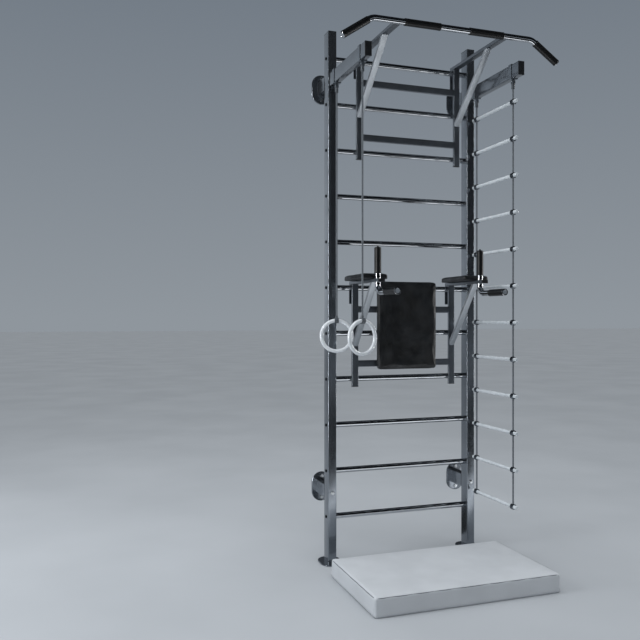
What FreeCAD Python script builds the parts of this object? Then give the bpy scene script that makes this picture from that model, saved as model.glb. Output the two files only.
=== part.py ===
"""Wall-mounted home gym: wall bars with a pull-up unit, a dip unit, rings, a rope ladder and a mat.

Millimetres.  +Z is up, +Y points into the wall and +X to the right of someone facing the wall.
The origin lies where the wall meets the floor, midway between the two posts.
"""
import FreeCAD, Part
import math
import os

V = FreeCAD.Vector
X_AXIS = V(1, 0, 0)
Y_AXIS = V(0, 1, 0)
Z_AXIS = V(0, 0, 1)

# Wall bars
post_above_rungs = 120.0      # from the top rung to the top of the posts
post_spacing = 717.0          # centre to centre of the two posts
post_width = 40.0             # across X
post_depth = 60.0             # across Y
post_wall = 2.0
wall_gap = 100.0              # from the wall to the back of the posts
rung_count = 11
rung_pitch = 210.0
first_rung_height = 210.0
rung_diameter = 25.0
rung_wall = 2.0
rung_plug = 24.0              # length of the threaded plug in each rung end
rung_bolt = 8.0
rung_bolt_head = 14.0
rung_bolt_head_height = 4.5
foot_width = 104.0
foot_length = 140.0
foot_thickness = 6.0
cap_thickness = 3.0
cap_spigot = 20.0
cap_clearance = 0.2

# Wall brackets
lower_bracket_height = 322.0
upper_bracket_drop = 225.0    # from the top of the posts to the upper brackets and the beams
plate_width = 96.0
plate_height = 138.0
plate_thickness = 8.0
standoff_width = 40.0
standoff_height = 60.0
standoff_wall = 3.0
wall_screw = 8.0
wall_screw_neck = 9.0         # plain neck where a wall screw passes through its plate
wall_screw_spacing = 100.0
wall_screw_reach = 45.0       # how far a wall screw stands out behind its plate
wall_screw_head = 15.0
wall_screw_head_height = 5.0
bracket_bolt = 10.0
bracket_bolt_head = 18.0
bracket_bolt_head_height = 5.0
bracket_bolt_grip = 30.0      # how far a bracket bolt reaches past the post

# Forward beams with their hanger straps
beam_width = 30.0
beam_height = 60.0
beam_wall = 2.0
beam_length = 424.0
beam_plug = 12.0              # solid end block that the bracket bolt screws into
strap_width = 22.0
strap_thickness = 2.5
front_hang = 360.0            # from the front of the post to the front hanger
rear_hang = 55.0
lug_thickness = 6.0
lug_radius = 7.0
lug_drop = 10.0               # from the strap's underside to the hanger's pivot
hinge_pin = 5.0
hinge_play = 0.3

# Ropes, rings and ladder
rope_diameter = 8.0
rope_play = 0.3
socket_wall = 3.2
socket_length = 22.0
socket_bore = 18.0
cheek_thickness = 4.0
ring_outer = 154.0
ring_tube = 17.0
ring_hang = 1091.5            # from the foot of a rope socket to the centre of a ring
ring_turn = {"front": -18.0, "rear": 18.0}    # how far each ring's face is turned from +Y
clasp_width = 18.0
clasp_wall = 2.8
clasp_play = 1.1
clasp_neck_wall = 1.2
clasp_neck_height = 9.0
ladder_rungs = 12
ladder_pitch = 162.3
ladder_top_hang = 58.5         # from the foot of a rope socket to the top ladder rung
ladder_rung = 16.0
ladder_rung_overhang = 31.0
collar_wall = 4.4
ladder_collar_width = 18.0
collar_play = 0.1

# Tube stock and hooks shared by the two hook-on units
handle_hole_edge = 2.5         # metal left beside a handle's hole in its arm
tube_depth = 15.0
tube_wall = 1.5
hook_thickness = 3.0
hook_drop = 73.0              # from the rung's centre to the foot of the hook
hook_bend = 6.0
seat_gap = 0.3                # between a hooked unit and the rung that carries it
bar_diameter = 25.0
bar_wall = 2.0
grip_wall = 2.5
end_plug_thickness = 2.5
end_plug_spigot = 15.0

# Pull-up unit
pullup_offset = 30.0          # the unit hangs a little to the right of the middle
pullup_spacing = 506.0
pullup_foot_drop = 454.0      # the drops are measured down from the rung that carries the unit
pullup_crossbar_drops = (100.0, 353.0)
pullup_reach = 459.0          # from the rung's centre to the bar's centre
pullup_brace_width = 28.0
pullup_brace_drop = 252.0
pullup_brace_reach = 306.0
bar_half_span = 501.8
bar_bend_angle = 34.0
bar_bend_radius = 60.0
bar_end_drop = 85.3
end_grip_length = 132.0
inner_grip_start = 68.0
inner_grip_length = 164.0

# Dip unit
dip_offset = 5.0
dip_spacing = 500.0
dip_rung = 6
dip_foot_drop = 454.0         # the drops are measured down from the rung that carries the unit
dip_crossbar_drops = (99.0, 350.0)
dip_arm_reach = 328.0
dip_brace_width = 27.0
dip_brace_drop = 257.0
dip_brace_reach = 243.0
backrest_width = 300.0
backrest_height = 408.0
backrest_drop = 377.5
backrest_pad_thickness = 30.0
backrest_board_thickness = 9.0
backrest_board_inset = 8.0
backrest_corner = 14.0
elbow_pad_length = 245.0
elbow_pad_front = 124.0
elbow_pad_rear = 103.0
elbow_pad_thickness = 23.0
elbow_pad_reach = 258.0
elbow_pad_corner = 8.0
handle_reach = 285.0
handle_rise = 162.0           # from the rung up to the top of a handle
handle_drop = 29.0            # from the rung down to the handle's forward run
handle_bend_radius = 35.0
handle_front = 483.0
upright_grip_length = 110.0
forward_grip_length = 113.0
knob_diameter = 9.0
knob_height = 6.0
handle_cap_thickness = 3.0

# Mat
mat_width = 828.0
mat_length = 485.0
mat_offset = -9.0             # the mat lies a little to the left of the middle
mat_thickness = 80.0
mat_gap = 310.0               # from the wall to the mat's back edge
mat_corner = 10.0
mat_edge = 6.0

# Places that follow from the sizes above
post_x = post_spacing / 2
post_y = -(wall_gap + post_depth / 2)
post_front = post_y - post_depth / 2
post_back = post_y + post_depth / 2
rung_y = post_y
rung_heights = [first_rung_height + rung_pitch * i for i in range(rung_count)]
post_height = rung_heights[-1] + post_above_rungs
bracket_heights = {"lower": lower_bracket_height, "upper": post_height - upper_bracket_drop}
beam_front = post_front - beam_length
beam_z = bracket_heights["upper"]
strap_bottom = beam_z - beam_height / 2 - strap_thickness
pivot_z = strap_bottom - lug_drop
hang_y = {"front": post_front - front_hang, "rear": post_front - rear_hang}
socket_top = pivot_z - lug_radius - 1.0
socket_foot = socket_top - socket_length
rope_top = socket_foot + socket_bore
ring_height = socket_foot - ring_hang
ladder_top_rung = socket_foot - ladder_top_hang
ring_radius = (ring_outer - ring_tube) / 2
ring_top = ring_height + ring_radius
clasp_bore = ring_tube / 2 + clasp_play
clasp_outer = clasp_bore + clasp_wall
rope_hole = rope_diameter + 2 * rope_play
socket_diameter = rope_hole + 2 * socket_wall
clasp_neck = rope_hole + 2 * clasp_neck_wall
ladder_collar = ladder_rung + 2 * (collar_play + collar_wall)
grip_diameter = bar_diameter + 2 * grip_wall
tube_face = bar_diameter + 2 * handle_hole_edge
tube_back = rung_y - rung_diameter / 2 - seat_gap
tube_front = tube_back - tube_depth
hook_back = rung_y + rung_diameter / 2 + seat_gap + hook_thickness
SIDES = {"left": -1, "right": 1}
ENDS = ("front", "rear")


def box(x0, x1, y0, y1, z0, z1):
    """Block between two corners, given in any order."""
    low = V(min(x0, x1), min(y0, y1), min(z0, z1))
    return Part.makeBox(abs(x1 - x0), abs(y1 - y0), abs(z1 - z0), low)


def rod(diameter, start, end):
    """Solid round bar from one point to another."""
    line = end - start
    return Part.makeCylinder(diameter / 2, line.Length, start, line)


def extrude_outline(edges, start, along):
    """Solid made by pushing a closed outline along a vector after moving it to a start point."""
    face = Part.Face(Part.Wire(edges))
    face.translate(start)
    return face.extrude(along)


def hollow_box(size, wall):
    """Rectangular tube, size being ((x0, x1), (y0, y1), (z0, z1)) and its longest side its length."""
    spans = [abs(b - a) for a, b in size]
    length_axis = spans.index(max(spans))
    inner = [(a, b) if i == length_axis else (min(a, b) + wall, max(a, b) - wall)
             for i, (a, b) in enumerate(size)]
    outer_box = box(*size[0], *size[1], *size[2])
    return outer_box.cut(box(*inner[0], *inner[1], *inner[2]))


def stadium(width, length):
    """Outline of a plate with two round ends, its length along Y, centred on the origin."""
    r = width / 2
    h = length / 2 - r
    right = Part.LineSegment(V(r, -h, 0), V(r, h, 0))
    top = Part.Arc(V(r, h, 0), V(0, h + r, 0), V(-r, h, 0))
    left = Part.LineSegment(V(-r, h, 0), V(-r, -h, 0))
    bottom = Part.Arc(V(-r, -h, 0), V(0, -h - r, 0), V(r, -h, 0))
    return [edge.toShape() for edge in (right, top, left, bottom)]


def bent_tube(points, radius, diameter, wall):
    """Round tube along straight runs whose corners are rounded to one radius."""
    runs = []
    start = points[0]
    for before, corner, after in zip(points, points[1:], points[2:]):
        into = (corner - before).normalize()
        out = (after - corner).normalize()
        turn = into.getAngle(out)
        back = radius * math.tan(turn / 2)
        arc_start = corner - into * back
        arc_end = corner + out * back
        inward = (out - into).normalize()
        middle = corner + inward * (radius / math.cos(turn / 2) - radius)
        runs.append(Part.LineSegment(start, arc_start).toShape())
        runs.append(Part.Arc(arc_start, middle, arc_end).toShape())
        start = arc_end
    runs.append(Part.LineSegment(start, points[-1]).toShape())
    path = Part.Wire(runs)
    heading = points[1] - points[0]
    solids = []
    for r in (diameter / 2, diameter / 2 - wall):
        circle = Part.Wire(Part.Circle(points[0], heading, r).toShape())
        solids.append(path.makePipeShell([circle], True, False))
    return solids[0].cut(solids[1])


def domed_head(diameter, height, base, axis):
    """Round screw head with a rolled edge, sitting on a surface."""
    head = Part.makeCylinder(diameter / 2, height, base, axis)
    outer = [e for e in head.Edges if abs((e.CenterOfMass - base).dot(axis) - height) < 0.01]
    return head.makeFillet(height * 0.6, [e for e in outer if e.Length > diameter])


def save(name, *solids):
    """Write one node; a node of several like pieces keeps them as separate solids."""
    shape = solids[0] if len(solids) == 1 else Part.makeCompound(list(solids))
    shape.exportStep("parts/" + name + ".step")
    print(name, len(shape.Solids), "solid(s), valid", shape.isValid())


# Posts, caps and feet

def post(side):
    """Hollow post with a hole pair at each rung, and one pair front to back at each wall bracket."""
    x = SIDES[side] * post_x
    half = post_width / 2
    shape = hollow_box(((x - half, x + half), (post_front, post_back),
                        (foot_thickness, post_height - cap_thickness)), post_wall)
    for z in rung_heights:
        shape = shape.cut(rod(rung_bolt, V(x - post_width, rung_y, z), V(x + post_width, rung_y, z)))
    for z in bracket_heights.values():
        shape = shape.cut(rod(bracket_bolt, V(x, post_front - 1, z), V(x, post_back + 1, z)))
    return shape


def post_cap(side):
    """Plastic cap with a spigot that plugs the top of a post."""
    x = SIDES[side] * post_x
    inset = post_wall + cap_clearance
    top = post_height - cap_thickness
    lid = box(x - post_width / 2, x + post_width / 2, post_front, post_back, top, post_height)
    lid = lid.makeChamfer(1.2, [e for e in lid.Edges if e.BoundBox.ZMin > post_height - 0.01])
    spigot = box(x - post_width / 2 + inset, x + post_width / 2 - inset,
                 post_front + inset, post_back - inset, top - cap_spigot, top)
    return lid.fuse(spigot)


def foot_plate(side):
    """Oval steel plate welded under a post."""
    centre = V(SIDES[side] * post_x, post_y, 0)
    plate = extrude_outline(stadium(foot_width, foot_length), centre, V(0, 0, foot_thickness))
    rim = [e for e in plate.Edges if e.BoundBox.ZMin > foot_thickness - 0.01]
    return plate.makeChamfer(1.5, rim)


# Rungs

rung_half = post_x - post_width / 2


def rung(z):
    """Round tube between the posts, with a solid threaded plug in each end."""
    start = V(-rung_half, rung_y, z)
    end = V(rung_half, rung_y, z)
    plug = V(rung_plug, 0, 0)
    hollow = rod(rung_diameter - 2 * rung_wall, start + plug, end - plug)
    return rod(rung_diameter, start, end).cut(hollow).cut(rod(rung_bolt, start, end))


def rung_bolts():
    """A bolt through each post into each rung end, its domed head on the post's outer face."""
    bolts = []
    for side in SIDES.values():
        outer = side * (post_x + post_width / 2)
        tip = side * (rung_half - rung_plug + 4)
        for z in rung_heights:
            shank = rod(rung_bolt, V(outer, rung_y, z), V(tip, rung_y, z))
            head = domed_head(rung_bolt_head, rung_bolt_head_height, V(outer, rung_y, z), X_AXIS * side)
            bolts.append(shank.fuse(head))
    return bolts


# Wall brackets

def bracket(side, z):
    """Oval wall plate with a box standoff that is closed in front, where the bracket bolt screws in."""
    x = SIDES[side] * post_x
    plate = extrude_outline(stadium(plate_width, plate_height), V(), V(0, 0, plate_thickness))
    rim = [e for e in plate.Edges if e.BoundBox.ZMin > plate_thickness - 0.01]
    plate = plate.makeChamfer(1.5, rim)
    plate.rotate(V(), X_AXIS, 90)
    plate.translate(V(x, 0, z))
    half_w = standoff_width / 2
    half_h = standoff_height / 2
    front = post_back
    back = -plate_thickness
    standoff = box(x - half_w, x + half_w, front, back, z - half_h, z + half_h)
    cavity = box(x - half_w + standoff_wall, x + half_w - standoff_wall, front + bracket_bolt_grip, back,
                 z - half_h + standoff_wall, z + half_h - standoff_wall)
    shape = plate.fuse(standoff.cut(cavity))
    shape = shape.cut(rod(bracket_bolt, V(x, front, z), V(x, front + bracket_bolt_grip, z)))
    for dz in (-wall_screw_spacing / 2, wall_screw_spacing / 2):
        shape = shape.cut(rod(wall_screw_neck, V(x, back, z + dz), V(x, 0, z + dz)))
    return shape


def wall_screws():
    """Two flat-headed screws through each wall plate, standing out behind it into the wall."""
    screws = []
    for side in SIDES.values():
        for z in bracket_heights.values():
            for dz in (-wall_screw_spacing / 2, wall_screw_spacing / 2):
                seat = V(side * post_x, -plate_thickness, z + dz)
                wall = V(side * post_x, 0, z + dz)
                shank = rod(wall_screw, wall, wall + Y_AXIS * wall_screw_reach)
                neck = rod(wall_screw_neck, seat, wall)
                head = Part.makeCylinder(wall_screw_head / 2, wall_screw_head_height, seat, -Y_AXIS)
                screws.append(shank.fuse(neck).fuse(head))
    return screws


def bracket_bolts():
    """Lower bolts run through post and standoff; upper ones also screw into the beam's end block."""
    bolts = []
    for side in SIDES.values():
        x = side * post_x
        grip_end = post_back + bracket_bolt_grip - 2
        z = bracket_heights["lower"]
        lower = rod(bracket_bolt, V(x, post_front, z), V(x, grip_end, z))
        head = domed_head(bracket_bolt_head, bracket_bolt_head_height, V(x, post_front, z), -Y_AXIS)
        bolts.append(lower.fuse(head))
        z = bracket_heights["upper"]
        bolts.append(rod(bracket_bolt, V(x, post_front - beam_plug, z), V(x, grip_end, z)))
    return bolts


# Beams and straps

def beam(side):
    """Hollow beam that stands out from the front of a post, with a solid block at its root."""
    x = SIDES[side] * post_x
    half_w = beam_width / 2
    half_h = beam_height / 2
    outer = box(x - half_w, x + half_w, beam_front + cap_thickness, post_front, beam_z - half_h, beam_z + half_h)
    inner = box(x - half_w + beam_wall, x + half_w - beam_wall, beam_front + cap_thickness,
                post_front - beam_plug, beam_z - half_h + beam_wall, beam_z + half_h - beam_wall)
    bolt_hole = rod(bracket_bolt, V(x, post_front - beam_plug, beam_z), V(x, post_front, beam_z))
    return outer.cut(inner).cut(bolt_hole)


def beam_cap(side):
    """Plastic plug in the open end of a beam."""
    x = SIDES[side] * post_x
    half_w = beam_width / 2
    half_h = beam_height / 2
    inset = beam_wall + cap_clearance
    back = beam_front + cap_thickness
    lid = box(x - half_w, x + half_w, beam_front, back, beam_z - half_h, beam_z + half_h)
    lid = lid.makeChamfer(1.2, [e for e in lid.Edges if e.BoundBox.YMax < beam_front + 0.01])
    spigot = box(x - half_w + inset, x + half_w - inset, back, back + cap_spigot,
                 beam_z - half_h + inset, beam_z + half_h - inset)
    return lid.fuse(spigot)


def strap(side, end):
    """Band bent round a beam, with a round-ended lug below for a rope's hinge."""
    x = SIDES[side] * post_x
    y = hang_y[end]
    half_w = beam_width / 2
    half_h = beam_height / 2
    t = strap_thickness
    y0 = y - strap_width / 2
    y1 = y + strap_width / 2
    band = box(x - half_w - t, x + half_w + t, y0, y1, beam_z - half_h - t, beam_z + half_h + t)
    band = band.makeFillet(t, [e for e in band.Edges if abs(e.tangentAt(0).y) > 0.99])
    band = band.cut(box(x - half_w, x + half_w, y0, y1, beam_z - half_h, beam_z + half_h))
    y_lug = y - lug_thickness / 2
    neck = box(x - lug_radius, x + lug_radius, y_lug, y_lug + lug_thickness, pivot_z, strap_bottom)
    eye = Part.makeCylinder(lug_radius, lug_thickness, V(x, y_lug, pivot_z), Y_AXIS)
    hole = Part.makeCylinder(hinge_pin / 2 + hinge_play, lug_thickness, V(x, y_lug, pivot_z), Y_AXIS)
    return band.fuse(neck).fuse(eye).cut(hole)


# Rope fittings, ropes, rings and ladder

def rope_clevis(x, y):
    """Fork and pin that hang on a strap's lug, above a socket that holds the end of a rope."""
    gap = lug_thickness / 2 + hinge_play
    reach = gap + cheek_thickness
    shape = rod(socket_diameter, V(x, y, socket_foot), V(x, y, socket_top))
    shape = shape.cut(rod(rope_hole, V(x, y, socket_foot), V(x, y, rope_top)))
    for y0, y1 in ((y - reach, y - gap), (y + gap, y + reach)):
        cheek = Part.makeCylinder(lug_radius, y1 - y0, V(x, y0, pivot_z), Y_AXIS)
        stem = box(x - lug_radius, x + lug_radius, y0, y1, socket_top - 1, pivot_z)
        shape = shape.fuse(cheek).fuse(stem)
    return shape.fuse(rod(hinge_pin, V(x, y - reach, pivot_z), V(x, y + reach, pivot_z)))


def ring_clasp(x, y, turn):
    """Band that holds the top of a ring loosely, with a neck that the rope goes into."""
    along = V(math.cos(math.radians(turn)), -math.sin(math.radians(turn)), 0)
    centre = V(x, y, ring_top)
    start = centre - along * (clasp_width / 2)
    end = centre + along * (clasp_width / 2)
    neck_top = V(x, y, ring_top + clasp_outer + clasp_neck_height)
    shape = rod(2 * clasp_outer, start, end).fuse(rod(clasp_neck, centre, neck_top))
    shape = shape.cut(rod(2 * clasp_bore, start, end))
    seat = V(x, y, ring_top + clasp_outer)
    return shape.cut(rod(rope_hole, seat, neck_top))


def ring(x, y, turn):
    """Round gymnastic ring, hanging turned a little about its rope."""
    facing = V(math.sin(math.radians(turn)), math.cos(math.radians(turn)), 0)
    return Part.makeTorus(ring_radius, ring_tube / 2, V(x, y, ring_height), facing)


def ladder_heights():
    return [ladder_top_rung - ladder_pitch * i for i in range(ladder_rungs)]


def ladder_rung_bar(x, z):
    """Round rung with rounded tips, drilled upright near each end for the two ropes."""
    start = hang_y["front"] - ladder_rung_overhang
    end = hang_y["rear"] + ladder_rung_overhang
    bar = rod(ladder_rung, V(x, start, z), V(x, end, z))
    bar = bar.makeFillet(2.5, [e for e in bar.Edges if e.Length > ladder_rung and e.Closed])
    for y in hang_y.values():
        bar = bar.cut(rod(rope_hole, V(x, y, z - ladder_rung), V(x, y, z + ladder_rung)))
    return bar


def ladder_collar_ring(x, y, z):
    """Clamp ring round a ladder rung, with the rope running down through it."""
    half = ladder_collar_width / 2
    start = V(x, y - half, z)
    end = V(x, y + half, z)
    collar = rod(ladder_collar, start, end)
    collar = collar.makeChamfer(1.5, [e for e in collar.Edges if e.Closed and e.Length > ladder_collar])
    collar = collar.cut(rod(ladder_rung + 2 * collar_play, start, end))
    hole = rod(rope_hole, V(x, y, z - ladder_collar), V(x, y, z + ladder_collar))
    return collar.cut(hole)


# Parts shared by the two hook-on units

def unit_x(offset, spacing, side):
    return offset + SIDES[side] * spacing / 2


def seat_height(rung_z):
    """Height of the underside of a hook that rests on a rung."""
    return rung_z + rung_diameter / 2 + seat_gap


def upright(x, foot, top):
    half = tube_face / 2
    return hollow_box(((x - half, x + half), (tube_front, tube_back), (foot, top)), tube_wall)


def crossbar(offset, spacing, z):
    half = spacing / 2 - tube_face / 2
    return hollow_box(((offset - half, offset + half), (tube_front, tube_back),
                       (z - tube_face / 2, z + tube_face / 2)), tube_wall)


def hook(x, rung_z):
    """Bent strip from the top of an upright, over the rung and down behind it."""
    low = seat_height(rung_z)
    top = low + hook_thickness
    foot = rung_z - hook_drop
    half = tube_face / 2
    strip = box(x - half, x + half, tube_front, hook_back, foot, top)
    gap = box(x - half, x + half, tube_front, hook_back - hook_thickness, foot, low)
    shape = strip.cut(gap)
    inner = [e for e in shape.Edges if abs(e.BoundBox.YMin - (hook_back - hook_thickness)) < 0.01
             and abs(e.BoundBox.ZMin - low) < 0.01 and e.BoundBox.YLength < 0.01 and e.BoundBox.ZLength < 0.01]
    shape = shape.makeFillet(hook_bend, inner)
    outer = [e for e in shape.Edges if e.BoundBox.YMin > hook_back - 0.01 and e.BoundBox.ZMin > top - 0.01]
    return shape.makeFillet(hook_bend, outer)


def arm(x, z, front):
    """Flat rectangular tube that lies on the hook and reaches forward."""
    half = tube_face / 2
    back = hook_back - hook_bend
    return hollow_box(((x - half, x + half), (front, back), (z, z + tube_depth)), tube_wall)


def brace(x, width, foot_z, reach, arm_z):
    """Diagonal tube from the front of an upright to the underside of an arm, mitred at both ends."""
    foot = V(x, tube_front, foot_z)
    head = V(x, rung_y - reach, arm_z)
    line = head - foot
    length = line.Length + 4 * tube_depth
    tilt = math.degrees(math.atan2(-line.y, line.z))
    outer = box(-width / 2, width / 2, -tube_depth / 2, tube_depth / 2, 0, length)
    inner = box(-width / 2 + tube_wall, width / 2 - tube_wall,
                -tube_depth / 2 + tube_wall, tube_depth / 2 - tube_wall, 0, length)
    shape = outer.cut(inner)
    shape.translate(V(0, 0, -2 * tube_depth))
    shape.rotate(V(), X_AXIS, tilt)
    shape.translate(foot)
    keep = box(x - width, x + width, tube_front, tube_front - 2 * reach, foot_z - 2 * tube_face, arm_z)
    return shape.common(keep)


def sleeve(diameter, bore, start, end):
    """Rubber grip: a sleeve with rolled ends on a straight run of tube."""
    body = rod(diameter, start, end)
    body = body.makeFillet(1.5, [e for e in body.Edges if e.Closed and e.Length > diameter])
    return body.cut(rod(bore, start, end))


def end_plug(tube, wall, end, outward):
    """Round plug in an open tube end, with a lid as wide as the tube."""
    lid = Part.makeCylinder(tube / 2, end_plug_thickness, end, outward)
    rim = [e for e in lid.Edges if e.Closed and (e.CenterOfMass - end).dot(outward) > end_plug_thickness / 2]
    lid = lid.makeFillet(1.5, rim)
    spigot = Part.makeCylinder(tube / 2 - wall - cap_clearance, end_plug_spigot, end, -outward)
    return lid.fuse(spigot)


def tube_plug(x, y_mid, z, outward, width, depth):
    """Flat plug for a rectangular tube end that faces along Y or Z."""
    inset = tube_wall + cap_clearance
    lid_w = width / 2
    lid_d = depth / 2
    parts = []
    for w, d, start, reach in ((lid_w, lid_d, 0, end_plug_thickness),
                               (lid_w - inset, lid_d - inset, -end_plug_spigot, 0)):
        if abs(outward.z) > 0.5:
            parts.append(box(x - w, x + w, y_mid - d, y_mid + d, z + outward.z * start, z + outward.z * reach))
        else:
            parts.append(box(x - w, x + w, y_mid + outward.y * start, y_mid + outward.y * reach, z - d, z + d))
    return parts[0].fuse(parts[1])


# Pull-up unit

pullup_rung_z = rung_heights[-1]
pullup_foot = pullup_rung_z - pullup_foot_drop
pullup_crossbars = [pullup_rung_z - drop for drop in pullup_crossbar_drops]
pullup_brace_foot = pullup_rung_z - pullup_brace_drop
pullup_arm_z = seat_height(pullup_rung_z) + hook_thickness
pullup_bar_z = pullup_arm_z + tube_depth - bar_diameter / 2
pullup_bar_y = rung_y - pullup_reach
bar_corner = bar_half_span - bar_end_drop / math.tan(math.radians(bar_bend_angle))


def bar_point(side, x, z_drop=0.0):
    return V(pullup_offset + SIDES[side] * x, pullup_bar_y, pullup_bar_z - z_drop)


def pullup_bar():
    """Round bar, level in the middle and bent down at both ends."""
    points = [bar_point("left", bar_half_span, bar_end_drop), bar_point("left", bar_corner),
              bar_point("right", bar_corner), bar_point("right", bar_half_span, bar_end_drop)]
    return bent_tube(points, bar_bend_radius, bar_diameter, bar_wall)


def pullup_arm(side):
    """Arm whose front end is hollowed to sit against the bar."""
    shape = arm(unit_x(pullup_offset, pullup_spacing, side), pullup_arm_z, pullup_bar_y)
    return shape.cut(rod(bar_diameter, bar_point("left", bar_corner), bar_point("right", bar_corner)))


def pullup_grips():
    """Two grips on the level part of the bar and one on each bent end."""
    grips = []
    for side in SIDES:
        start = bar_point(side, inner_grip_start)
        end = bar_point(side, inner_grip_start + inner_grip_length)
        grips.append(sleeve(grip_diameter, bar_diameter, start, end))
        tip = bar_point(side, bar_half_span, bar_end_drop)
        inward = (bar_point(side, bar_corner) - tip).normalize()
        grips.append(sleeve(grip_diameter, bar_diameter, tip, tip + inward * end_grip_length))
    return grips


def pullup_plugs():
    """Plugs in the ends of the bar, the feet of the uprights and the backs of the arms."""
    plugs = []
    y_mid = (tube_front + tube_back) / 2
    for side in SIDES:
        tip = bar_point(side, bar_half_span, bar_end_drop)
        outward = (tip - bar_point(side, bar_corner)).normalize()
        plugs.append(end_plug(bar_diameter, bar_wall, tip, outward))
        x = unit_x(pullup_offset, pullup_spacing, side)
        plugs.append(tube_plug(x, y_mid, pullup_foot, -Z_AXIS, tube_face, tube_depth))
        back = hook_back - hook_bend
        plugs.append(tube_plug(x, back, pullup_arm_z + tube_depth / 2, Y_AXIS, tube_face, tube_depth))
    return plugs


# Dip unit

dip_rung_z = rung_heights[dip_rung - 1]
dip_foot = dip_rung_z - dip_foot_drop
dip_crossbars = [dip_rung_z - drop for drop in dip_crossbar_drops]
dip_brace_foot = dip_rung_z - dip_brace_drop
backrest_bottom = dip_rung_z - backrest_drop
handle_top = dip_rung_z + handle_rise
handle_low = dip_rung_z - handle_drop
dip_arm_z = seat_height(dip_rung_z) + hook_thickness
dip_arm_top = dip_arm_z + tube_depth
dip_arm_front = rung_y - dip_arm_reach
handle_y = rung_y - handle_reach


def dip_arm(side):
    """Arm with an upright hole for its handle."""
    x = unit_x(dip_offset, dip_spacing, side)
    shape = arm(x, dip_arm_z, dip_arm_front + end_plug_thickness)
    return shape.cut(rod(bar_diameter, V(x, handle_y, dip_arm_z), V(x, handle_y, dip_arm_top)))


def handle(side):
    """Round tube, upright through the arm and then bent forward below it."""
    x = unit_x(dip_offset, dip_spacing, side)
    points = [V(x, handle_y, handle_top), V(x, handle_y, handle_low), V(x, rung_y - handle_front, handle_low)]
    return bent_tube(points, handle_bend_radius, bar_diameter, bar_wall)


def dip_grips():
    grips = []
    for side in SIDES:
        x = unit_x(dip_offset, dip_spacing, side)
        top = V(x, handle_y, handle_top)
        front = V(x, rung_y - handle_front, handle_low)
        grips.append(sleeve(grip_diameter, bar_diameter, top - Z_AXIS * upright_grip_length, top))
        grips.append(sleeve(grip_diameter, bar_diameter, front, front + Y_AXIS * forward_grip_length))
    return grips


def dip_plugs():
    """Knobbed plugs on top of the handles and plain plugs in all other open ends."""
    plugs = []
    y_mid = (tube_front + tube_back) / 2
    for side in SIDES:
        x = unit_x(dip_offset, dip_spacing, side)
        top = V(x, handle_y, handle_top)
        knob = rod(knob_diameter, top, top + Z_AXIS * (end_plug_thickness + knob_height))
        knob = knob.makeFillet(2.0, [e for e in knob.Edges
                                     if e.Closed and e.CenterOfMass.z > handle_top + knob_height])
        plugs.append(end_plug(bar_diameter, bar_wall, top, Z_AXIS).fuse(knob))
        plugs.append(end_plug(bar_diameter, bar_wall, V(x, rung_y - handle_front, handle_low), -Y_AXIS))
        plugs.append(tube_plug(x, y_mid, dip_foot, -Z_AXIS, tube_face, tube_depth))
        mid_z = dip_arm_z + tube_depth / 2
        plugs.append(tube_plug(x, hook_back - hook_bend, mid_z, Y_AXIS, tube_face, tube_depth))
        plugs.append(tube_plug(x, dip_arm_front + end_plug_thickness, mid_z, -Y_AXIS, tube_face, tube_depth))
    return plugs


def backrest_slab(inset, front, back, corner):
    """Upright slab with rounded corners, centred on the dip unit."""
    half = backrest_width / 2 - inset
    slab = box(dip_offset - half, dip_offset + half, front, back,
               backrest_bottom + inset, backrest_bottom + backrest_height - inset)
    return slab.makeFillet(corner, [e for e in slab.Edges if abs(e.tangentAt(0).y) > 0.99])


def backrest_board():
    return backrest_slab(backrest_board_inset, tube_front - backrest_board_thickness, tube_front, 8.0)


def backrest_pad():
    back = tube_front - backrest_board_thickness
    return backrest_slab(0.0, back - backrest_pad_thickness, back, backrest_corner)


def elbow_pad(side):
    """Flat pad on an arm, wider in front than behind."""
    x = unit_x(dip_offset, dip_spacing, side)
    front = rung_y - elbow_pad_reach
    back = front + elbow_pad_length
    corners = [V(x - elbow_pad_front / 2, front, dip_arm_top), V(x + elbow_pad_front / 2, front, dip_arm_top),
               V(x + elbow_pad_rear / 2, back, dip_arm_top), V(x - elbow_pad_rear / 2, back, dip_arm_top)]
    outline = Part.makePolygon(corners + corners[:1])
    pad = Part.Face(outline).extrude(V(0, 0, elbow_pad_thickness))
    return pad.makeFillet(elbow_pad_corner, [e for e in pad.Edges if abs(e.tangentAt(0).z) > 0.99])


# Mat

def mat():
    """Thick foam mat on the floor in front of the wall bars."""
    half = mat_width / 2
    slab = box(mat_offset - half, mat_offset + half, -mat_gap - mat_length, -mat_gap, 0, mat_thickness)
    slab = slab.makeFillet(mat_corner, [e for e in slab.Edges if abs(e.tangentAt(0).z) > 0.99])
    return slab.makeFillet(mat_edge, [e for e in slab.Edges if e.BoundBox.ZMin > mat_thickness - 0.01])


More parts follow.
